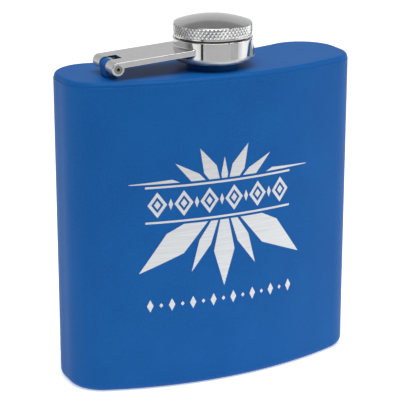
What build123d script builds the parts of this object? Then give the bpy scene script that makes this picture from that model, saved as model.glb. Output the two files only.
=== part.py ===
from build123d import *
from math import atan2, cos, radians, sin, sqrt
import os

# Captive-lid hip flask. Millimetres, +Z up, front face towards -Y, width along X.
# The origin is on the resting plane, under the centre of the body's own footprint.
os.makedirs("parts", exist_ok=True)

# ---- body ----
body_width = 90.0
body_height = 92.0  # resting plane to the top of the shoulder plate
body_thickness = 27.5  # front wall to back wall on the centre line
front_radius = 110.0  # the front bulges outwards
back_radius = 90.0  # the back is hollow, to sit against a hip
front_corner_radius = 11.0
back_corner_radius = 11.5
wall = 0.6
plate_thickness = 0.8
base_edge_radius = 2.0
base_pan_height = 3.0  # the shell stands on the base pan here
shoulder_edge_radius = 1.1
shoulder_pan_depth = 1.3  # the shell's top edge below the top of the shoulder plate
seam_step = 0.2  # the shell stands this far proud of the shoulder plate
shell_lip_radius = 0.3
spigot_length = 2.6  # how far each end plate reaches into the shell
spigot_clearance = 0.03
spigot_root = 0.5  # height over which a spigot is one with its plate

# ---- neck, heights above the shoulder plate ----
neck_height = 6.0
neck_root_radius = 6.2
neck_wall = 0.9
neck_ring_width = 1.3  # beyond the neck's tube
neck_ring_height = 2.2
neck_ring_edge = 0.35
neck_spigot_width = 0.4  # beyond the neck's tube
neck_spigot_depth = 1.6  # reaches through the shoulder plate
neck_spigot_fit = 0.03
neck_rim_edge = 0.2

# ---- screw thread ----
thread_pitch = 1.8
thread_depth = 0.55
thread_base_width = 0.75
thread_tip_width = 0.3
thread_clearance = 0.2
thread_root_overlap = 0.05
neck_thread_start = 3.0
neck_thread_turns = 1.3
cap_thread_turns = 0.85

# ---- lid stack, heights above the shoulder plate ----
collar_bottom = 2.05
collar_height = 6.55
collar_reach = 3.0  # sleeve to the outside of the collar
collar_wall = 0.8
collar_bowl_radius = 1.4
collar_lip_width = 1.75
collar_ledge_drop = 0.5  # ledge below the rim
collar_ledge_thickness = 0.7
collar_rim_edge = 0.2
cap_rim_gap = 0.55  # cap head above the collar's rim
cap_inset = 0.3  # cap head inside the collar's outline
knurl_height = 3.4
knurl_land = 0.35  # smooth edge below the knurled band
knurl_depth = 0.24
dome_shoulder = 0.15
dome_rise = 2.0
dome_edge_radius = 0.3
cap_wall = 0.6
cap_lip_width = 1.9
cap_edge = 0.15
insert_fit = 0.04
sleeve_wall = 1.55
sleeve_bottom = 2.6
sleeve_slide_clearance = 0.2
gasket_thickness = 1.2
gasket_side_gap = 0.25
gasket_gap = 0.03
retainer_thickness = 0.5
retainer_width = 1.15
retainer_opening = 1.6
retainer_running_clearance = 0.05
groove_depth = 0.45
groove_land = 0.35  # sleeve left below the retainer's groove

# ---- swing arm and hinge ----
hinge_offset = 32.3  # neck axis to pin axis
pin_height = 3.35  # pin axis above the shoulder plate
eye_radius = 1.85
arm_width = 14.4
arm_thickness = 1.7
arm_rise = 1.2  # the strap climbs this much from the hinge to the collar
arm_blend_radius = 0.45  # where the strap meets the collar
slot_width = 4.5
slot_reach = 3.2  # pin axis to the end of the slot
pin_radius = 0.75
pin_fit = 0.02
pin_running_clearance = 0.05
pin_head_radius = 1.15
pin_head_thickness = 0.35
pin_head_edge = 0.12
pin_recess_clearance = 0.08
pin_hollow_radius = 0.5
pin_hollow_depth = 1.8
bracket_thickness = 0.8
bracket_side_clearance = 0.15
bracket_bend_radius = 0.7
arm_edge_radius = 0.2
tab_reach = 0.6
tab_angle = 90.0
tab_low = 1.2  # lower edge of the thumb tab above the collar's bottom
tab_edge = 0.6

# ---- places worked out from the sizes above ----
half_width = body_width / 2
front_centre = front_radius - body_thickness / 2
back_centre = back_radius + body_thickness / 2
front_corner_x = half_width - front_corner_radius
front_corner_y = front_centre - sqrt((front_radius - front_corner_radius) ** 2 - front_corner_x**2)
back_corner_x = half_width - back_corner_radius
back_corner_y = back_centre - sqrt((back_radius + back_corner_radius) ** 2 - back_corner_x**2)
footprint_back = back_corner_y + back_corner_radius
middle_y = (body_thickness / 2 - footprint_back) / 2  # mid-thickness at the centre of the width
shell_top = body_height - shoulder_pan_depth
thread_radius = neck_root_radius + thread_depth
neck_bore_radius = neck_root_radius - neck_wall
neck_ring_radius = neck_root_radius + neck_ring_width
neck_spigot_radius = neck_root_radius + neck_spigot_width
insert_bore = thread_radius + thread_clearance
sleeve_radius = insert_bore + sleeve_wall
gasket_radius = insert_bore - gasket_side_gap
collar_radius = sleeve_radius + collar_reach
cap_radius = collar_radius - cap_inset
cap_lip_radius = cap_radius - cap_lip_width
collar_rim = collar_bottom + collar_height
head_bottom = collar_rim + cap_rim_gap
head_top = head_bottom + knurl_height
hinge_x = -hinge_offset
pin_z = body_height + pin_height
neck_axis = Axis((0, middle_y, 0), (0, 0, 1))


def arc_point(centre_x, centre_y, radius, angle):
    return (centre_x + radius * cos(angle), centre_y + radius * sin(angle))


def kidney(inset, mode=Mode.ADD):
    # the body's outline moved inwards: two long arcs, two corner arcs and a short straight each side
    front_r = front_radius - inset
    back_r = back_radius + inset
    front_corner = front_corner_radius - inset
    back_corner = back_corner_radius - inset
    front_angle = atan2(front_corner_y - front_centre, front_corner_x)
    back_angle = atan2(back_centre - back_corner_y, -back_corner_x)
    hollow_angle = atan2(back_corner_y - back_centre, back_corner_x)
    front_end = arc_point(0, front_centre, front_r, front_angle)
    front_half = arc_point(0, front_centre, front_r, (front_angle - radians(90)) / 2)
    front_turn = arc_point(front_corner_x, front_corner_y, front_corner, front_angle / 2)
    side_front = (half_width - inset, front_corner_y)
    side_back = (half_width - inset, back_corner_y)
    back_turn = arc_point(back_corner_x, back_corner_y, back_corner, back_angle / 2)
    back_end = arc_point(0, back_centre, back_r, hollow_angle)
    back_half = arc_point(0, back_centre, back_r, (hollow_angle - radians(90)) / 2)
    with BuildLine() as outline:
        ThreePointArc((0, front_centre - front_r), front_half, front_end)
        ThreePointArc(front_end, front_turn, side_front)
        Line(side_front, side_back)
        ThreePointArc(side_back, back_turn, back_end)
        ThreePointArc(back_end, back_half, (0, back_centre - back_r))
        mirror(about=Plane.YZ)
    make_face(outline.edges(), mode=mode)


def body_plane(height):
    return Plane((0, middle_y, height))


def turning_plane():
    # radius along X, height above the shoulder plate along the second direction
    return Plane((0, middle_y, body_height), x_dir=(1, 0, 0), z_dir=(0, -1, 0))


def hinge_plane():
    # looking along the pin: X to the right, height upwards, the pin's axis at the origin
    return Plane((hinge_x, middle_y, pin_z), x_dir=(1, 0, 0), z_dir=(0, -1, 0))


def thread_ridge(root_radius, tip_radius, start_height, turns):
    # one helical ridge with sloping flanks, about the neck's axis
    reach = tip_radius - root_radius
    with BuildPart() as ridge:
        with BuildLine() as path:
            Helix(pitch=thread_pitch, height=thread_pitch * turns, radius=root_radius)
        with BuildSketch(Plane(origin=path.line @ 0, x_dir=(1, 0, 0), z_dir=path.line % 0)):
            with BuildLine():
                Polyline(
                    (0, -thread_base_width / 2),
                    (reach, -thread_tip_width / 2),
                    (reach, thread_tip_width / 2),
                    (0, thread_base_width / 2),
                    close=True,
                )
            make_face()
        sweep(path=path.line, is_frenet=True)
    return ridge.part.moved(Location((0, middle_y, body_height + start_height)))


# ---- body shell: one strip of sheet bent round the outline and seam-welded ----
with BuildPart() as body_shell:
    with BuildSketch(body_plane(base_pan_height)):
        kidney(0)
        kidney(wall, mode=Mode.SUBTRACT)
    extrude(amount=shell_top - base_pan_height)
    outer_lip = body_shell.edges().group_by(Axis.Z)[-1].sort_by(Axis.X)
    fillet([outer_lip[0], outer_lip[-1]], radius=shell_lip_radius)
body_shell.part.label = "body_shell"

# ---- base plate: a shallow pan under the shell, with a spigot inside it ----
with BuildPart() as base_plate:
    with BuildSketch(body_plane(0)):
        kidney(0)
    extrude(amount=base_pan_height)
    fillet(base_plate.edges().group_by(Axis.Z)[0], radius=base_edge_radius)
    with BuildSketch(body_plane(plate_thickness)):
        kidney(plate_thickness)
    extrude(amount=base_pan_height, mode=Mode.SUBTRACT)
    inner_floor = base_plate.edges().filter_by_position(
        Axis.Z, plate_thickness - 0.01, plate_thickness + 0.01
    )
    fillet(inner_floor, radius=base_edge_radius - plate_thickness)
    with BuildSketch(body_plane(base_pan_height - spigot_root)):
        kidney(plate_thickness / 2)
        kidney(2 * plate_thickness, mode=Mode.SUBTRACT)
    extrude(amount=spigot_root)
    with BuildSketch(body_plane(base_pan_height)):
        kidney(wall + spigot_clearance)
        kidney(2 * plate_thickness, mode=Mode.SUBTRACT)
    extrude(amount=spigot_length)
base_plate.part.label = "base_plate"

# ---- shoulder plate: the same pan upside down, with a hole for the neck ----
with BuildPart() as shoulder_plate:
    with BuildSketch(body_plane(shell_top)):
        kidney(seam_step)
    extrude(amount=shoulder_pan_depth)
    fillet(shoulder_plate.edges().group_by(Axis.Z)[-1], radius=shoulder_edge_radius)
    with BuildSketch(body_plane(shell_top - spigot_length)):
        kidney(wall + spigot_clearance)
    extrude(amount=spigot_length)
    with BuildSketch(body_plane(shell_top - spigot_length)):
        kidney(2 * plate_thickness)
    extrude(amount=spigot_length + shoulder_pan_depth - plate_thickness, mode=Mode.SUBTRACT)
    with BuildSketch(body_plane(shell_top)):
        Circle(neck_spigot_radius + neck_spigot_fit)
    extrude(amount=2 * shoulder_pan_depth, mode=Mode.SUBTRACT)
shoulder_plate.part.label = "shoulder_plate"

# ---- neck: turned in one piece, its ring seated and welded on the shoulder plate ----
neck_ridge = thread_ridge(
    neck_root_radius - thread_root_overlap, thread_radius, neck_thread_start, neck_thread_turns
)
with BuildPart() as neck:
    with BuildSketch(body_plane(body_height)):
        Circle(neck_ring_radius)
    extrude(amount=neck_ring_height)
    fillet(neck.edges().group_by(Axis.Z)[-1], radius=neck_ring_edge)
    with BuildSketch(body_plane(body_height)):
        Circle(neck_root_radius)
    extrude(amount=neck_height)
    with BuildSketch(body_plane(body_height - neck_spigot_depth)):
        Circle(neck_spigot_radius)
    extrude(amount=neck_spigot_depth)
    with BuildSketch(body_plane(body_height - neck_spigot_depth)):
        Circle(neck_bore_radius)
    extrude(amount=neck_spigot_depth + neck_height, mode=Mode.SUBTRACT)
    fillet(neck.edges().group_by(Axis.Z)[-1], radius=neck_rim_edge)
    add(neck_ridge)
neck.part.label = "neck"

# ---- hinge bracket: a strip with a foot on the shoulder plate, curled over into a barrel ----
barrel_radius = pin_radius + pin_running_clearance + bracket_thickness
with BuildPart() as hinge_bracket:
    with BuildSketch(hinge_plane()):
        with Locations((-barrel_radius + bracket_thickness / 2, -pin_height / 2)):
            Rectangle(bracket_thickness, pin_height)
        with Locations((-barrel_radius, -pin_height)):
            Rectangle(2 * barrel_radius, bracket_thickness, align=(Align.MIN, Align.MIN))
        heel = vertices().sort_by(Axis.X).group_by(Axis.Y)[0][0]
        fillet(heel, radius=bracket_bend_radius)
        Circle(barrel_radius)
        Circle(pin_radius + pin_running_clearance, mode=Mode.SUBTRACT)
    extrude(amount=slot_width / 2 - bracket_side_clearance, both=True)
hinge_bracket.part.label = "hinge_bracket"

# ---- hinge pin: a semi-tubular rivet, flared at the front and headed at the back ----
pin_half = arm_width / 2
with BuildPart() as hinge_pin:
    with BuildSketch(hinge_plane()):
        Circle(pin_radius)
    extrude(amount=pin_half - pin_head_thickness, both=True)
    with BuildSketch(hinge_plane().offset(pin_half - pin_head_thickness)):
        Circle(pin_head_radius)
    extrude(amount=pin_head_thickness)
    with BuildSketch(hinge_plane().offset(-pin_half)):
        Circle(pin_head_radius)
    extrude(amount=pin_head_thickness)
    end_rings = hinge_pin.edges().filter_by(GeomType.CIRCLE).group_by(Axis.Y)
    fillet(end_rings[0] + end_rings[-1], radius=pin_head_edge)
    with BuildSketch(hinge_plane().offset(pin_half - pin_hollow_depth)):
        Circle(pin_hollow_radius)
    extrude(amount=pin_hollow_depth, mode=Mode.SUBTRACT)
hinge_pin.part.label = "hinge_pin"

# ---- swing arm: a slotted strap with two eyes, in one piece with the collar round the cap ----
strap_top = eye_radius
strap_slope = arm_rise / (hinge_offset - collar_radius)
strap_end = hinge_offset
strap_end_top = strap_top + strap_slope * strap_end
collar_inner = collar_radius - collar_wall
ledge_radius = sleeve_radius + sleeve_slide_clearance
ledge_top = collar_rim - collar_ledge_drop
ledge_under = ledge_top - collar_ledge_thickness
collar_mouth = collar_radius - collar_lip_width
with BuildPart() as swing_arm:
    with BuildSketch(hinge_plane()):
        with BuildLine():
            Polyline(
                (0, strap_top),
                (strap_end, strap_end_top),
                (strap_end, strap_end_top - arm_thickness),
                (0, strap_top - arm_thickness),
                close=True,
            )
        make_face()
        Circle(eye_radius)
    extrude(amount=arm_width / 2, both=True)
    side_edges = swing_arm.edges().group_by(Axis.Y)
    fillet(side_edges[0] + side_edges[-1], radius=arm_edge_radius)
    with BuildSketch(hinge_plane()):
        with Locations((slot_reach, 0)):
            Rectangle(3 * slot_reach, 4 * slot_reach, align=(Align.MAX, Align.CENTER))
    extrude(amount=slot_width / 2, both=True, mode=Mode.SUBTRACT)
    with BuildSketch(hinge_plane()):
        Circle(pin_radius + pin_fit)
    extrude(amount=arm_width, both=True, mode=Mode.SUBTRACT)
    with BuildSketch(hinge_plane().offset(arm_width / 2 - pin_head_thickness)):
        Circle(pin_head_radius + pin_recess_clearance)
    extrude(amount=arm_width, mode=Mode.SUBTRACT)
    with BuildSketch(hinge_plane().offset(pin_head_thickness - arm_width / 2)):
        Circle(pin_head_radius + pin_recess_clearance)
    extrude(amount=-arm_width, mode=Mode.SUBTRACT)
    with BuildSketch(body_plane(body_height)):
        Circle(collar_radius - collar_wall / 2)
    extrude(amount=2 * collar_rim, mode=Mode.SUBTRACT)
    with BuildSketch(turning_plane()):
        with BuildLine():
            Polyline(
                (collar_mouth, collar_bottom),
                (collar_radius, collar_bottom),
                (collar_radius, collar_rim),
                (collar_inner, collar_rim),
                (collar_inner, ledge_top),
                (ledge_radius, ledge_top),
                (ledge_radius, ledge_under),
                (collar_inner, ledge_under),
                (collar_inner, collar_bottom + collar_wall),
                (collar_mouth, collar_bottom + collar_wall),
                close=True,
            )
        make_face()
        bowl_corner = vertices().group_by(Axis.Y)[0].sort_by(Axis.X)[-1]
        fillet(bowl_corner, radius=collar_bowl_radius)
        rim_corner = vertices().group_by(Axis.Y)[-1].sort_by(Axis.X)[-1]
        fillet(rim_corner, radius=collar_rim_edge)
    revolve(axis=neck_axis)
    crossing = swing_arm.edges().filter_by(GeomType.ELLIPSE).sort_by(Axis.Z)[-1]
    fillet(crossing, radius=arm_blend_radius)
    tab_start = Plane(
        (0, middle_y, body_height),
        x_dir=(cos(radians(tab_angle / 2)), -sin(radians(tab_angle / 2)), 0),
        z_dir=(-sin(radians(tab_angle / 2)), -cos(radians(tab_angle / 2)), 0),
    )
    tab_foot = collar_bottom + tab_low
    with BuildSketch(tab_start):
        with BuildLine():
            Polyline(
                (collar_inner + collar_wall / 2, tab_foot),
                (collar_radius + tab_reach, tab_foot),
                (collar_radius + tab_reach, tab_foot + tab_edge),
                (collar_radius, collar_rim - tab_edge),
                (collar_inner + collar_wall / 2, collar_rim - tab_edge),
                close=True,
            )
        make_face()
    revolve(axis=neck_axis, revolution_arc=tab_angle)
swing_arm.part.label = "swing_arm"

# ---- retainer ring: a split ring in the sleeve's groove, under the collar's ledge ----
groove_radius = sleeve_radius - groove_depth
groove_bottom = sleeve_bottom + groove_land
with BuildPart() as retainer_ring:
    ring_bottom = body_height + groove_bottom + retainer_running_clearance
    with BuildSketch(body_plane(ring_bottom)):
        Circle(groove_radius + retainer_running_clearance + retainer_width)
        Circle(groove_radius + retainer_running_clearance, mode=Mode.SUBTRACT)
        with Locations((0, sleeve_radius)):
            Rectangle(retainer_opening, 4 * retainer_width, mode=Mode.SUBTRACT)
    extrude(amount=retainer_thickness)
retainer_ring.part.label = "retainer_ring"

# ---- cap shell: a drawn steel cup with a domed top, its lower edge curled in under the insert ----
band_radius = cap_radius - knurl_depth
cup_inner = band_radius - cap_wall
dome_base = head_top + dome_shoulder
dome_top = dome_base + dome_rise
half_dome = cap_radius / 2
dome_radius = (cap_radius**2 + dome_rise**2) / (2 * dome_rise)
dome_centre = dome_top - dome_radius


def dome_height(radius, thickness):
    return dome_centre + sqrt((dome_radius - thickness) ** 2 - radius**2)


with BuildPart() as cap_shell:
    with BuildSketch(turning_plane()):
        with BuildLine():
            Line((cap_lip_radius, head_bottom), (cap_radius, head_bottom))
            Line((cap_radius, head_bottom), (cap_radius, dome_base))
            ThreePointArc((cap_radius, dome_base), (half_dome, dome_height(half_dome, 0)), (0, dome_top))
            Line((0, dome_top), (0, dome_top - cap_wall))
            ThreePointArc(
                (0, dome_top - cap_wall),
                (half_dome, dome_height(half_dome, cap_wall)),
                (cup_inner, dome_height(cup_inner, cap_wall)),
            )
            Line((cup_inner, dome_height(cup_inner, cap_wall)), (cup_inner, head_bottom + cap_wall))
            Line((cup_inner, head_bottom + cap_wall), (cap_lip_radius, head_bottom + cap_wall))
            Line((cap_lip_radius, head_bottom + cap_wall), (cap_lip_radius, head_bottom))
        make_face()
        outer_corners = vertices().group_by(Axis.X)[-1].sort_by(Axis.Y)
        fillet(outer_corners[-1], radius=dome_edge_radius)
        fillet(outer_corners[0], radius=cap_edge)
        with Locations((cap_radius, head_top)):
            Rectangle(
                2 * knurl_depth,
                knurl_height - knurl_land,
                align=(Align.CENTER, Align.MAX),
                mode=Mode.SUBTRACT,
            )
    revolve(axis=neck_axis)
cap_shell.part.label = "cap_shell"

# ---- cap insert: moulded core that fills the cup and carries the thread down through the collar ----
insert_radius = cup_inner - insert_fit
gasket_bottom = neck_height + gasket_gap
gasket_top = gasket_bottom + gasket_thickness
core_bottom = head_bottom + cap_wall + insert_fit
core_top = dome_height(insert_radius, cap_wall) - insert_fit
retainer_slot = retainer_thickness + 2 * retainer_running_clearance
cap_ridge = thread_ridge(
    insert_bore + thread_root_overlap,
    neck_root_radius + thread_clearance,
    neck_thread_start + thread_pitch / 2,
    cap_thread_turns,
)
with BuildPart() as cap_insert:
    with BuildSketch(body_plane(body_height + core_bottom)):
        Circle(insert_radius)
    extrude(amount=core_top - core_bottom)
    with BuildSketch(body_plane(body_height + sleeve_bottom)):
        Circle(sleeve_radius)
    extrude(amount=core_bottom - sleeve_bottom)
    with BuildSketch(body_plane(body_height + groove_bottom)):
        Circle(sleeve_radius)
        Circle(groove_radius, mode=Mode.SUBTRACT)
    extrude(amount=retainer_slot, mode=Mode.SUBTRACT)
    with BuildSketch(body_plane(body_height + sleeve_bottom)):
        Circle(insert_bore)
    extrude(amount=gasket_top - sleeve_bottom, mode=Mode.SUBTRACT)
    add(cap_ridge)
cap_insert.part.label = "cap_insert"

# ---- cap gasket: a soft disc that the neck's rim presses against ----
with BuildPart() as cap_gasket:
    with BuildSketch(body_plane(body_height + gasket_bottom)):
        Circle(gasket_radius)
    extrude(amount=gasket_thickness)
cap_gasket.part.label = "cap_gasket"

export_step(body_shell.part, "parts/body_shell.step")
export_step(base_plate.part, "parts/base_plate.step")
export_step(shoulder_plate.part, "parts/shoulder_plate.step")
export_step(neck.part, "parts/neck.step")
export_step(hinge_bracket.part, "parts/hinge_bracket.step")
export_step(hinge_pin.part, "parts/hinge_pin.step")
export_step(swing_arm.part, "parts/swing_arm.step")
export_step(retainer_ring.part, "parts/retainer_ring.step")
export_step(cap_shell.part, "parts/cap_shell.step")
export_step(cap_insert.part, "parts/cap_insert.step")
export_step(cap_gasket.part, "parts/cap_gasket.step")
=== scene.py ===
import bpy
from math import asin, cos, pi, radians, sin
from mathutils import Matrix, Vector


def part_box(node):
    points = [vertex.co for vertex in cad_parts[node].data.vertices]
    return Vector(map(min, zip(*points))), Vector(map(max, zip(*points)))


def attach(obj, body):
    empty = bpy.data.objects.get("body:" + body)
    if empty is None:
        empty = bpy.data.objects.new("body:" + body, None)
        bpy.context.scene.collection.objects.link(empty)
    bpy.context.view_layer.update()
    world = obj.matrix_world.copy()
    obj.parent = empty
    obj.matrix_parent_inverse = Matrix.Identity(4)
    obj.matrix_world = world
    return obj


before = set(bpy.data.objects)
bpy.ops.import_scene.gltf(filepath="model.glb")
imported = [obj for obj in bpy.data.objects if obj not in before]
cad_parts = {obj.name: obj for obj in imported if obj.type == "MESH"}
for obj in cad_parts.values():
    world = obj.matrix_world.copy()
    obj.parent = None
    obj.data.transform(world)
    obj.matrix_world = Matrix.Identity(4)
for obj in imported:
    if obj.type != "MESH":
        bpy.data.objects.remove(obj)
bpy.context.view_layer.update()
scene = bpy.context.scene
mm = 0.001


# ---- small helpers ----
def srgb(hexColour):
    # a six-digit sRGB value as the linear colour that shaders take
    channels = [int(hexColour[i : i + 2], 16) / 255 for i in (1, 3, 5)]
    linear = [c / 12.92 if c <= 0.04045 else ((c + 0.055) / 1.055) ** 2.4 for c in channels]
    return (*linear, 1.0)


def addNode(tree, kind, settings=None, inputs=None):
    # inputs: socket name or number to a plain value or to another node's output
    node = tree.nodes.new(kind)
    for name, value in (settings or {}).items():
        setattr(node, name, value)
    for name, value in (inputs or {}).items():
        socket = node.inputs[name]
        if isinstance(value, bpy.types.NodeSocket):
            tree.links.new(value, socket)
        else:
            socket.default_value = value
    return node


def newMaterial(name):
    material = bpy.data.materials.new(name)
    material.use_nodes = True
    material.node_tree.nodes.clear()
    return material, material.node_tree


def finishMaterial(tree, shader):
    addNode(tree, "ShaderNodeOutputMaterial", {}, {"Surface": shader.outputs[0]})


def colourRamp(tree, factor, stops):
    ramp = addNode(tree, "ShaderNodeValToRGB", {}, {"Fac": factor})
    elements = ramp.color_ramp.elements
    while len(elements) < len(stops):
        elements.new(0.5)
    for element, (place, colour) in zip(elements, stops):
        element.position = place
        element.color = colour
    return ramp


def meshPiece(name, points, faces, material, body):
    mesh = bpy.data.meshes.new(name)
    mesh.from_pydata(points, [], faces)
    mesh.validate()
    mesh.materials.append(material)
    piece = bpy.data.objects.new(name, mesh)
    scene.collection.objects.link(piece)
    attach(piece, body)
    return piece


# ---- materials ----
# Powder coat: polyester powder baked on steel. It gives a matte blue with a fine orange-peel grain.
powderCoat = {
    "colour": "#115CA3",
    "deepColour": "#0C5297",
    "roughness": 0.5,
    "specular": 0.1,
    "grainSize": 0.35,  # mm across one bump of the baked surface
    "grainHeight": 0.02,  # mm
    "cloudSize": 14.0,  # mm, where the coat is a shade thinner or thicker
}


def makePowderCoat(name, mask=None):
    # mask: where tape and a plug kept the powder off the steel
    material, tree = newMaterial(name)
    place = addNode(tree, "ShaderNodeTexCoord")
    cloud = addNode(tree, "ShaderNodeTexNoise", {}, {
        "Vector": place.outputs["Object"],
        "Scale": 1 / (powderCoat["cloudSize"] * mm),
        "Detail": 3.0,
    })
    speck = addNode(tree, "ShaderNodeTexNoise", {}, {
        "Vector": place.outputs["Object"],
        "Scale": 1 / (powderCoat["grainSize"] * mm),
        "Detail": 2.0,
    })
    both = addNode(tree, "ShaderNodeMath", {"operation": "MULTIPLY_ADD"}, {
        0: cloud.outputs["Fac"],
        1: 0.5,
        2: speck.outputs["Fac"],
    })
    tone = colourRamp(tree, both.outputs[0], [
        (0.55, srgb(powderCoat["deepColour"])),
        (0.95, srgb(powderCoat["colour"])),
    ])
    bump = addNode(tree, "ShaderNodeBump", {}, {
        "Strength": 0.5,
        "Distance": powderCoat["grainHeight"] * mm,
        "Height": speck.outputs["Fac"],
    })
    shader = addNode(tree, "ShaderNodeBsdfPrincipled", {}, {
        "Base Color": tone.outputs["Color"],
        "Roughness": powderCoat["roughness"],
        "Specular IOR Level": powderCoat["specular"],
        "Normal": bump.outputs["Normal"],
    })
    if mask is not None:
        height = addNode(tree, "ShaderNodeSeparateXYZ", {}, {"Vector": place.outputs["Object"]})
        high = addNode(tree, "ShaderNodeMath", {"operation": "GREATER_THAN"}, {
            0: height.outputs["Z"],
            1: mask["bareAbove"] * mm,
        })
        flat = addNode(tree, "ShaderNodeVectorMath", {"operation": "MULTIPLY_ADD"}, {
            0: place.outputs["Object"],
            1: (1, 1, 0),
            2: (0, -mouthMiddle.y, 0),
        })
        radius = addNode(tree, "ShaderNodeVectorMath", {"operation": "LENGTH"}, {0: flat.outputs["Vector"]})
        inner = addNode(tree, "ShaderNodeMath", {"operation": "LESS_THAN"}, {
            0: radius.outputs["Value"],
            1: mask["bareWithin"] * mm,
        })
        bare = addNode(tree, "ShaderNodeMath", {"operation": "MAXIMUM"}, {
            0: high.outputs[0],
            1: inner.outputs[0],
        })
        steel = addNode(tree, "ShaderNodeBsdfPrincipled", {}, {
            "Base Color": srgb(mask["steelColour"]),
            "Metallic": 1.0,
            "Roughness": mask["steelRoughness"],
        })
        shader = addNode(tree, "ShaderNodeMixShader", {}, {
            0: bare.outputs[0],
            1: shader.outputs[0],
            2: steel.outputs[0],
        })
    finishMaterial(tree, shader)
    return material


# Bright metal: polished casting or drawn steel, with faint waves left by the buffing wheel.
# Below dullBelow the wheel did not reach, so the metal is greyer and blurs what it mirrors.
def makeBrightMetal(name, finish):
    material, tree = newMaterial(name)
    place = addNode(tree, "ShaderNodeTexCoord")
    turned = addNode(tree, "ShaderNodeMapping", {}, {
        "Vector": place.outputs["Object"],
        "Scale": finish["stretch"],
    })
    marks = addNode(tree, "ShaderNodeTexNoise", {}, {
        "Vector": turned.outputs["Vector"],
        "Scale": 1 / (finish["grain"] * mm),
        "Detail": 4.0,
    })
    axes = addNode(tree, "ShaderNodeSeparateXYZ", {}, {"Vector": place.outputs["Object"]})
    dull = addNode(tree, "ShaderNodeMapRange", {"interpolation_type": "SMOOTHSTEP"}, {
        "Value": axes.outputs["Z"],
        "From Min": (finish["dullBelow"] + 0.5) * mm,
        "From Max": (finish["dullBelow"] - 0.3) * mm,
        "To Min": finish["roughness"],
        "To Max": finish["dullRoughness"],
    })
    polish = addNode(tree, "ShaderNodeMapRange", {}, {
        "Value": marks.outputs["Fac"],
        "From Min": 0.3,
        "From Max": 0.7,
        "To Min": 0.85,
        "To Max": 1.15,
    })
    rough = addNode(tree, "ShaderNodeMath", {"operation": "MULTIPLY"}, {
        0: dull.outputs["Result"],
        1: polish.outputs["Result"],
    })
    tone = colourRamp(tree, marks.outputs["Fac"], [
        (0.3, srgb(finish["colours"][0])),
        (0.7, srgb(finish["colours"][1])),
    ])
    bump = addNode(tree, "ShaderNodeBump", {}, {
        "Strength": finish["waves"],
        "Distance": 0.01 * mm,
        "Height": marks.outputs["Fac"],
    })
    shader = addNode(tree, "ShaderNodeBsdfPrincipled", {}, {
        "Base Color": tone.outputs["Color"],
        "Metallic": 1.0,
        "Roughness": rough.outputs[0],
        "Normal": bump.outputs["Normal"],
    })
    finishMaterial(tree, shader)
    return material


# Moulded parts: a faint mottle and a soft sheen, for the cap's plastic core and its seal.
def makeMoulded(name, colour, roughness):
    material, tree = newMaterial(name)
    place = addNode(tree, "ShaderNodeTexCoord")
    grain = addNode(tree, "ShaderNodeTexNoise", {}, {
        "Vector": place.outputs["Object"],
        "Scale": 1 / (0.6 * mm),
        "Detail": 2.0,
    })
    tone = colourRamp(tree, grain.outputs["Fac"], [(0.3, srgb(colour[0])), (0.7, srgb(colour[1]))])
    bump = addNode(tree, "ShaderNodeBump", {}, {
        "Strength": 0.3,
        "Distance": 0.01 * mm,
        "Height": grain.outputs["Fac"],
    })
    shader = addNode(tree, "ShaderNodeBsdfPrincipled", {}, {
        "Base Color": tone.outputs["Color"],
        "Roughness": roughness,
        "Normal": bump.outputs["Normal"],
    })
    finishMaterial(tree, shader)
    return material


coat = makePowderCoat("powderCoat")
neckMask = {
    "bareAbove": 94.25,  # mm above the table: just over the neck's ring
    "bareWithin": 5.6,  # mm from the neck's axis: the bore
    "steelColour": "#C4C4C2",
    "steelRoughness": 0.24,
}
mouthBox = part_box("neck")
mouthMiddle = (mouthBox[0] + mouthBox[1]) / 2
neckCoat = makePowderCoat("powderCoatOnNeck", neckMask)  # blue ring below a bright bare thread
brightFinish = {
    "colours": ("#C6C6C6", "#CCCCCC"),
    "roughness": 0.09,
    "dullRoughness": 0.5,
    "dullBelow": 0.0,  # mm above the table
    "grain": 2.5,  # mm between waves
    "stretch": (1, 1, 1),
    "waves": 0.015,
}
castMetal = makeBrightMetal("polishedCasting", brightFinish | {"dullBelow": 95.6})
capSteel = makeBrightMetal("polishedSteel", brightFinish | {"roughness": 0.14})
knurledSteel = makeBrightMetal("knurledSteel", brightFinish | {
    "colours": ("#CFCFCE", "#DADAD9"),
    "roughness": 0.3,
})
pinSteel = makeBrightMetal("drawnSteel", brightFinish | {
    "colours": ("#8A8783", "#9A9793"),
    "roughness": 0.22,
})
ringSteel = makeBrightMetal("springSteel", brightFinish | {
    "colours": ("#A8A6A2", "#B8B6B2"),
    "roughness": 0.3,
})
engravedSteel = makeBrightMetal("bareSteel", brightFinish | {
    "colours": ("#C2C4C6", "#D6D8DA"),
    "roughness": 0.45,
    "grain": 1.2,
    "stretch": (0.12, 0.12, 4),
    "waves": 0.3,
})
insertPlastic = makeMoulded("mouldedPlastic", ("#B7B6B1", "#C3C2BD"), 0.45)
silicone = makeMoulded("silicone", ("#C9C6BD", "#D5D2C9"), 0.6)
cadMaterials = {
    "body_shell": coat,
    "base_plate": coat,
    "shoulder_plate": coat,
    "neck": neckCoat,
    "hinge_bracket": coat,
    "hinge_pin": pinSteel,
    "swing_arm": castMetal,
    "retainer_ring": ringSteel,
    "cap_shell": capSteel,
    "cap_insert": insertPlastic,
    "cap_gasket": silicone,
}
for nodeName, material in cadMaterials.items():
    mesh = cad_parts[nodeName].data
    mesh.materials.clear()
    mesh.materials.append(material)
print("materials on the CAD pieces")

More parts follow.
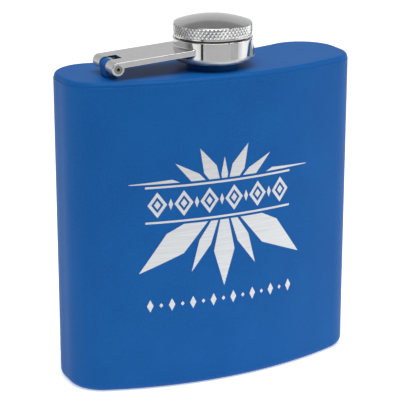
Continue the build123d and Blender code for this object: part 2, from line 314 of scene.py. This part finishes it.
# ---- cap knurl: diamonds rolled into the side of the cap ----
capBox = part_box("cap_shell")
capMiddle = (capBox[0] + capBox[1]) / 2
capKnurl = {
    "columns": 60,
    "rows": 4,  # half-diamond steps up the band
    "depth": 0.24,
    "lowEdge": 0.35,  # smooth edge under the band
    "bandHeight": 3.05,
    "flat": 0.14,  # share of each diamond left flat at its tip
}
capRadius = (capBox[1].x - capBox[0].x) / 2


def knurlTree(name, material):
    tree = bpy.data.node_groups.new(name, "GeometryNodeTree")
    face = tree.interface
    face.new_socket("Geometry", in_out="INPUT", socket_type="NodeSocketGeometry")
    for socketName, kind in (
        ("Columns", "NodeSocketInt"),
        ("Rows", "NodeSocketInt"),
        ("Root Radius", "NodeSocketFloat"),
        ("Depth", "NodeSocketFloat"),
        ("Step", "NodeSocketFloat"),
        ("Bottom", "NodeSocketFloat"),
        ("Centre Y", "NodeSocketFloat"),
    ):
        face.new_socket(socketName, in_out="INPUT", socket_type=kind)
    face.new_socket("Geometry", in_out="OUTPUT", socket_type="NodeSocketGeometry")
    given = addNode(tree, "NodeGroupInput").outputs

    def calculate(operation, *values):
        return addNode(tree, "ShaderNodeMath", {"operation": operation}, dict(enumerate(values))).outputs[0]

    index = addNode(tree, "GeometryNodeInputIndex").outputs[0]
    turn = calculate("DIVIDE", 2 * pi, given["Columns"])
    row = calculate("FLOOR", calculate("DIVIDE", calculate("ADD", index, 0.5), given["Columns"]))
    column = calculate("SUBTRACT", index, calculate("MULTIPLY", row, given["Columns"]))
    halfWidth = calculate("MULTIPLY", calculate("MULTIPLY", turn, 0.5), given["Root Radius"])

    def ringOfTeeth(rowCount, rowHeight, stagger, vertices, size, lift, spin):
        # one tooth stood on each lattice point, its base on the band and its tip outwards
        count = calculate("MULTIPLY", given["Columns"], rowCount)
        angle = calculate("MULTIPLY", turn, calculate("ADD", column, stagger))
        place = addNode(tree, "ShaderNodeCombineXYZ", {}, {
            "X": calculate("MULTIPLY", calculate("COSINE", angle), given["Root Radius"]),
            "Y": calculate("ADD", calculate("MULTIPLY", calculate("SINE", angle), given["Root Radius"]),
                           given["Centre Y"]),
            "Z": calculate("ADD", given["Bottom"], rowHeight),
        })
        points = addNode(tree, "GeometryNodePoints", {}, {"Count": count, "Position": place.outputs[0]})
        tooth = addNode(tree, "GeometryNodeMeshCone", {"fill_type": "NGON"}, {
            "Vertices": vertices,
            "Radius Top": capKnurl["flat"],
            "Radius Bottom": 1.0,
            "Depth": 1.0,
        })
        upright = addNode(tree, "GeometryNodeTransform", {}, {
            "Geometry": tooth.outputs["Mesh"],
            "Rotation": (spin, pi / 2, 0),
        })
        sized = addNode(tree, "GeometryNodeTransform", {}, {
            "Geometry": upright.outputs[0],
            "Scale": addNode(tree, "ShaderNodeCombineXYZ", {}, {
                "X": given["Depth"],
                "Y": calculate("MULTIPLY", halfWidth, size[0]),
                "Z": calculate("MULTIPLY", given["Step"], size[1]),
            }).outputs[0],
            "Translation": addNode(tree, "ShaderNodeCombineXYZ", {}, {
                "Z": calculate("MULTIPLY", given["Step"], lift),
            }).outputs[0],
        })
        facing = addNode(tree, "ShaderNodeCombineXYZ", {}, {"Z": angle})
        return addNode(tree, "GeometryNodeInstanceOnPoints", {}, {
            "Points": points.outputs[0],
            "Instance": sized.outputs[0],
            "Rotation": facing.outputs[0],
        }).outputs[0]

    fullRows = calculate("SUBTRACT", given["Rows"], 1)
    fullHeight = calculate("MULTIPLY", given["Step"], calculate("ADD", row, 1))
    evenRow = calculate("MULTIPLY", calculate("MODULO", row, 2), 0.5)
    join = addNode(tree, "GeometryNodeJoinGeometry")
    top = calculate("MULTIPLY", given["Step"], given["Rows"])
    for teeth in (
        ringOfTeeth(fullRows, fullHeight, evenRow, 4, (1.0, 1.0), 0.0, 0.0),
        ringOfTeeth(1, 0.0, 0.5, 3, (1.1547, 0.6667), 0.3333, pi),
        ringOfTeeth(1, top, 0.5, 3, (1.1547, 0.6667), -0.3333, 0.0),
    ):
        tree.links.new(teeth, join.inputs[0])
    real = addNode(tree, "GeometryNodeRealizeInstances", {}, {"Geometry": join.outputs[0]})
    painted = addNode(tree, "GeometryNodeSetMaterial", {}, {
        "Geometry": real.outputs[0],
        "Material": material,
    })
    addNode(tree, "NodeGroupOutput", {}, {"Geometry": painted.outputs[0]})
    return tree


def grownPiece(name, tree, values, body):
    # runs a tree on an empty mesh and keeps what it makes as a plain mesh
    seed = bpy.data.objects.new(name, bpy.data.meshes.new(name))
    scene.collection.objects.link(seed)
    grow = seed.modifiers.new("grow", "NODES")
    grow.node_group = tree
    sockets = {item.name: item.identifier for item in tree.interface.items_tree if item.in_out == "INPUT"}
    for socketName, value in values.items():
        grow[sockets[socketName]] = value
    evaluated = seed.evaluated_get(bpy.context.evaluated_depsgraph_get())
    seed.data = bpy.data.meshes.new_from_object(evaluated)
    seed.modifiers.clear()
    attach(seed, body)
    return seed


knurl = grownPiece("capKnurl", knurlTree("knurlTree", knurledSteel), {
    "Columns": capKnurl["columns"],
    "Rows": capKnurl["rows"],
    "Root Radius": capRadius - (capKnurl["depth"] / 2 + 0.004) * mm,
    "Depth": capKnurl["depth"] * mm,
    "Step": capKnurl["bandHeight"] / capKnurl["rows"] * mm,
    "Bottom": capBox[0].z + capKnurl["lowEdge"] * mm,
    "Centre Y": capMiddle.y,
}, "cap")
print("cap knurl:", len(knurl.data.polygons), "faces")

# ---- engraving: a burst of rays crossed by a bordered band, with a row of beads below ----
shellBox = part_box("body_shell")
engraving = {
    "frontRadius": 110.0,  # the same curve as the shell's front
    "skin": 0.03,  # mm, half the thickness: it stands this far out of the coat
    "strip": 1.2,  # mm, widest step round the curve
    "middle": -2.8,
    "halfWidth": 28.2,
    "top": 71.8,
    "bottom": 29.8,
    "bandTop": 61.4,
    "bandBottom": 51.0,
    "bandHalfLength": 22.6,
    "bandGap": 1.0,  # mm of coat left between the rays and the band
    "bandShift": -0.8,  # mm from the middle of the rays
    "ruleWidth": 0.6,
    "rays": 14,
    "shortRay": 0.8,  # length of every second ray, as a share of its neighbour's
    "raySpread": (0.92, 0.62),  # share of its angle that a long and a short ray fills
    "rayWaist": 0.6,  # where along a ray it is widest
    "raySquareness": 4,  # the tips lie on a rounded square; 2 would be an ellipse
    "lozenges": 6,
    "lozengeMargin": 3.4,  # mm from the end of a rule to the first lozenge's middle
    "lozengeSize": (5.6, 7.6),
    "lozengeHole": 0.62,
    "lozengeCore": (1.9, 2.6),
    "lozengeBetween": (1.3, 3.4),
    "beads": 15,
    "beadRow": 25.9,
    "beadShift": -0.2,
    "beadPitch": 3.15,
    "largeBead": (1.9, 3.8),
    "smallBead": (1.1, 1.4),
}
frontMost = shellBox[0].y / mm


def clipped(outline, axis, limit, keepAbove):
    # the part of a convex outline on one side of a line
    kept = []
    for i, a in enumerate(outline):
        b = outline[(i + 1) % len(outline)]
        insideA = (a[axis] >= limit) == keepAbove
        insideB = (b[axis] >= limit) == keepAbove
        if insideA:
            kept.append(a)
        if insideA != insideB:
            t = (limit - a[axis]) / (b[axis] - a[axis])
            kept.append((a[0] + t * (b[0] - a[0]), a[1] + t * (b[1] - a[1])))
    return kept


def frontPoint(x, z, lift):
    radius = engraving["frontRadius"]
    y = frontMost + radius - (radius + lift) * cos(asin(x / radius))
    return (x * (radius + lift) / radius * mm, y * mm, z * mm)


def rectangle(x, z, width, height):
    return [(x - width / 2, z - height / 2), (x + width / 2, z - height / 2),
            (x + width / 2, z + height / 2), (x - width / 2, z + height / 2)]


def lozenge(x, z, width, height):
    return [(x - width / 2, z), (x, z - height / 2), (x + width / 2, z), (x, z + height / 2)]


def lozengeFrame(x, z, width, height, inner):
    outer, hole = lozenge(x, z, width, height), lozenge(x, z, width * inner, height * inner)
    return [[outer[i], outer[(i + 1) % 4], hole[(i + 1) % 4], hole[i]] for i in range(4)]


def engravedOutlines():
    e = engraving
    bandMiddle = (e["bandTop"] + e["bandBottom"]) / 2
    bandCentre = e["middle"] + e["bandShift"]
    power = e["raySquareness"]
    outlines = []
    for i in range(e["rays"]):
        angle = 2 * pi * (i + 0.5) / e["rays"]
        rise = (e["top"] - bandMiddle) if sin(angle) > 0 else (bandMiddle - e["bottom"])
        reach = ((cos(angle) / e["halfWidth"]) ** power + (sin(angle) / rise) ** power) ** (-1 / power)
        short = i % 2
        tip = reach * (e["shortRay"] if short else 1.0)
        spread = pi / e["rays"] * e["raySpread"][short]
        waist = tip * e["rayWaist"]

        def at(distance, turn):
            return (e["middle"] + distance * cos(angle + turn), bandMiddle + distance * sin(angle + turn))

        ray = [at(0.0, 0), at(waist, -spread), at(tip, 0), at(waist, spread)]
        outlines.append(clipped(ray, 1, e["bandTop"] + e["bandGap"], True))
        outlines.append(clipped(ray, 1, e["bandBottom"] - e["bandGap"], False))
    for height in (e["bandTop"], e["bandBottom"]):
        outlines.append(rectangle(bandCentre, height, 2 * e["bandHalfLength"], e["ruleWidth"]))
    pitch = 2 * (e["bandHalfLength"] - e["lozengeMargin"]) / (e["lozenges"] - 1)
    for i in range(e["lozenges"]):
        x = bandCentre + (i - (e["lozenges"] - 1) / 2) * pitch
        outlines += lozengeFrame(x, bandMiddle, *e["lozengeSize"], e["lozengeHole"])
        outlines.append(lozenge(x, bandMiddle, *e["lozengeCore"]))
        if i < e["lozenges"] - 1:
            outlines.append(lozenge(x + pitch / 2, bandMiddle, *e["lozengeBetween"]))
    for i in range(e["beads"]):
        x = e["middle"] + e["beadShift"] + (i - (e["beads"] - 1) / 2) * e["beadPitch"]
        outlines.append(lozenge(x, e["beadRow"], *(e["smallBead"] if i % 2 else e["largeBead"])))
    return [outline for outline in outlines if len(outline) > 2]


def engravedPiece(name, outlines, material):
    points, faces, step = [], [], engraving["strip"]
    for outline in outlines:
        first = int(min(p[0] for p in outline) // step)
        last = int(max(p[0] for p in outline) // step)
        for k in range(first, last + 1):
            part = clipped(outline, 0, k * step, True)
            part = clipped(part, 0, (k + 1) * step, False) if len(part) > 2 else []
            if len(part) < 3:
                continue
            base = len(points)
            n = len(part)
            points += [frontPoint(x, z, engraving["skin"]) for x, z in part]
            points += [frontPoint(x, z, -engraving["skin"]) for x, z in part]
            faces.append(tuple(range(base, base + n)))
            faces.append(tuple(range(base + 2 * n - 1, base + n - 1, -1)))
            faces += [(base + i, base + n + i, base + n + (i + 1) % n, base + (i + 1) % n) for i in range(n)]
    return meshPiece(name, points, faces, material, "flask")


engraved = engravedPiece("frontEngraving", engravedOutlines(), engravedSteel)
print("front engraving:", len(engraved.data.polygons), "faces")

# ---- camera, floor and light ----
view = {
    "azimuth": -25.653,
    "elevation": 17.635,
    "distance": 492.72,
    "lens": 150.795,
    "aim": (-3.261, -1.278, 51.381),
}


def towards(azimuth, elevation):
    a, e = radians(azimuth), radians(elevation)
    return Vector((sin(a) * cos(e), -cos(a) * cos(e), sin(e)))


cameraData = bpy.data.cameras.new("camera")
cameraData.sensor_width = 36
cameraData.lens = view["lens"]
cameraData.clip_start = 0.01
cameraData.clip_end = 20
camera = bpy.data.objects.new("camera", cameraData)
scene.collection.objects.link(camera)
back = towards(view["azimuth"], view["elevation"])
camera.location = Vector(view["aim"]) * mm + back * view["distance"] * mm
camera.rotation_euler = back.to_track_quat("Z", "Y").to_euler()
scene.camera = camera

# The floor glows though it is no lamp: painted light that keeps it white with no shadow of the object, and
# that brightens what the metal and coat mirror.
paleFloor = {
    "halfWidth": 4.0,  # m
    "nearFade": (-0.34, -0.12),  # m in Y: greyer with less glow in front of the object, a painted shade that dims what the metal and coat mirror there; white round and behind it
    "nearShadeColour": "#B4B4B4",
    "nearGlow": 0.26,
    "addedGlow": 0.2,  # beyond the fade
}
floorMaterial, floorTree = newMaterial("paleFloor")
floorNoise = addNode(floorTree, "ShaderNodeTexNoise", {}, {"Scale": 3.0, "Detail": 2.0})
floorTone = colourRamp(floorTree, floorNoise.outputs["Fac"], [(0.3, srgb("#FBFBFB")), (0.7, srgb("#FFFFFF"))])
floorPlace = addNode(floorTree, "ShaderNodeTexCoord")
floorAxes = addNode(floorTree, "ShaderNodeSeparateXYZ", {}, {"Vector": floorPlace.outputs["Object"]})
floorNear = addNode(floorTree, "ShaderNodeMapRange", {"interpolation_type": "SMOOTHSTEP"}, {
    "Value": floorAxes.outputs["Y"],
    "From Min": paleFloor["nearFade"][0],
    "From Max": paleFloor["nearFade"][1],
})
floorGlow = addNode(floorTree, "ShaderNodeMath", {"operation": "MULTIPLY_ADD"}, {
    0: floorNear.outputs["Result"],
    1: paleFloor["addedGlow"],
    2: paleFloor["nearGlow"],
})
floorShade = addNode(floorTree, "ShaderNodeMix", {"data_type": "RGBA"}, {
    "Factor": floorNear.outputs["Result"],
    6: srgb(paleFloor["nearShadeColour"]),
    7: floorTone.outputs["Color"],
})
floorShader = addNode(floorTree, "ShaderNodeBsdfPrincipled", {}, {
    "Base Color": floorShade.outputs[2],
    "Roughness": 0.9,
    "Specular IOR Level": 0.1,
    "Emission Color": srgb("#FFFFFF"),
    "Emission Strength": floorGlow.outputs[0],
})
finishMaterial(floorTree, floorShader)
floorMesh = bpy.data.meshes.new("floor")
half = paleFloor["halfWidth"]
floorCorners = [(-half, -half, 0), (half, -half, 0), (half, half, 0), (-half, half, 0)]
floorMesh.from_pydata(floorCorners, [], [(0, 1, 2, 3)])
floorMesh.materials.append(floorMaterial)
floor = bpy.data.objects.new("floor", floorMesh)
scene.collection.objects.link(floor)

# area lights: power in watts, size in metres, place by azimuth, elevation and distance from the aim point
lights = {
    "overhead": (8.0, (0.9, 0.7), -10, 76, 0.95),
    "leftSoftbox": (0.12, (0.35, 0.8), -78, 22, 0.8),
    "rightSoftbox": (1.9, (0.35, 0.9), 62, 20, 0.85),
    "frontFill": (0.35, (0.7, 0.45), -12, 24, 1.3),
}
for name, (power, size, azimuth, elevation, distance) in lights.items():
    data = bpy.data.lights.new(name, "AREA")
    data.shape = "RECTANGLE"
    data.size, data.size_y = size
    data.energy = power
    lamp = bpy.data.objects.new(name, data)
    scene.collection.objects.link(lamp)
    direction = towards(azimuth, elevation)
    lamp.location = Vector(view["aim"]) * mm + direction * distance
    lamp.rotation_euler = direction.to_track_quat("Z", "Y").to_euler()

# cards round the object, seen only as reflections in the bright metal:
# azimuth, distance, width, top, grey level (0 is black)
cards = {
    "darkFlag": (-55, 0.25, 0.03, 0.075, 0.0),
    "brightCard": (38, 0.3, 0.13, 0.09, 0.66),
}
for name, (azimuth, distance, width, top, level) in cards.items():
    cardMaterial, cardTree = newMaterial(name)
    finishMaterial(cardTree, addNode(cardTree, "ShaderNodeEmission", {}, {
        "Color": srgb("#FFFFFF"),
        "Strength": level,
    }))
    outwards = towards(azimuth, 0)
    across = Vector((-outwards.y, outwards.x, 0)) * width / 2
    foot = outwards * distance + Vector((0, 0, 0.001))
    cardMesh = bpy.data.meshes.new(name)
    rise = Vector((0, 0, top))
    corners = [foot - across, foot + across, foot + across + rise, foot - across + rise]
    cardMesh.from_pydata(corners, [], [(0, 1, 2, 3)])
    cardMesh.materials.append(cardMaterial)
    card = bpy.data.objects.new(name, cardMesh)
    scene.collection.objects.link(card)
    card.visible_camera = False
    card.visible_diffuse = False
    card.visible_shadow = False

studio = {
    "front": 0.22,  # brightness of the room in front of the object
    "behind": (0.0, 0.55),  # Y of the direction over which the backdrop takes over
    "backdrop": ((0.0, 0.74), (0.3, 0.66), (0.52, 0.56), (0.56, 0.3)),  # height of the direction, brightness
}
world = bpy.data.worlds.new("studio")
world.use_nodes = True
world.node_tree.nodes.clear()
worldPlace = addNode(world.node_tree, "ShaderNodeTexCoord")
worldAxes = addNode(world.node_tree, "ShaderNodeSeparateXYZ", {}, {"Vector": worldPlace.outputs["Generated"]})
worldBehind = addNode(world.node_tree, "ShaderNodeMapRange", {"interpolation_type": "SMOOTHSTEP"}, {
    "Value": worldAxes.outputs["Y"],
    "From Min": studio["behind"][0],
    "From Max": studio["behind"][1],
})
worldHeight = colourRamp(world.node_tree, worldAxes.outputs["Z"], [
    (height, (level, level, level, 1)) for height, level in studio["backdrop"]
])
worldGlow = addNode(world.node_tree, "ShaderNodeMix", {"data_type": "FLOAT"}, {
    0: worldBehind.outputs["Result"],
    2: studio["front"],
    3: worldHeight.outputs["Color"],
})
worldShader = addNode(world.node_tree, "ShaderNodeBackground", {}, {
    "Color": srgb("#FFFFFF"),
    "Strength": worldGlow.outputs[0],
})
addNode(world.node_tree, "ShaderNodeOutputWorld", {}, {"Surface": worldShader.outputs[0]})
scene.world = world
scene.view_settings.view_transform = "Standard"
print("camera, floor and light")
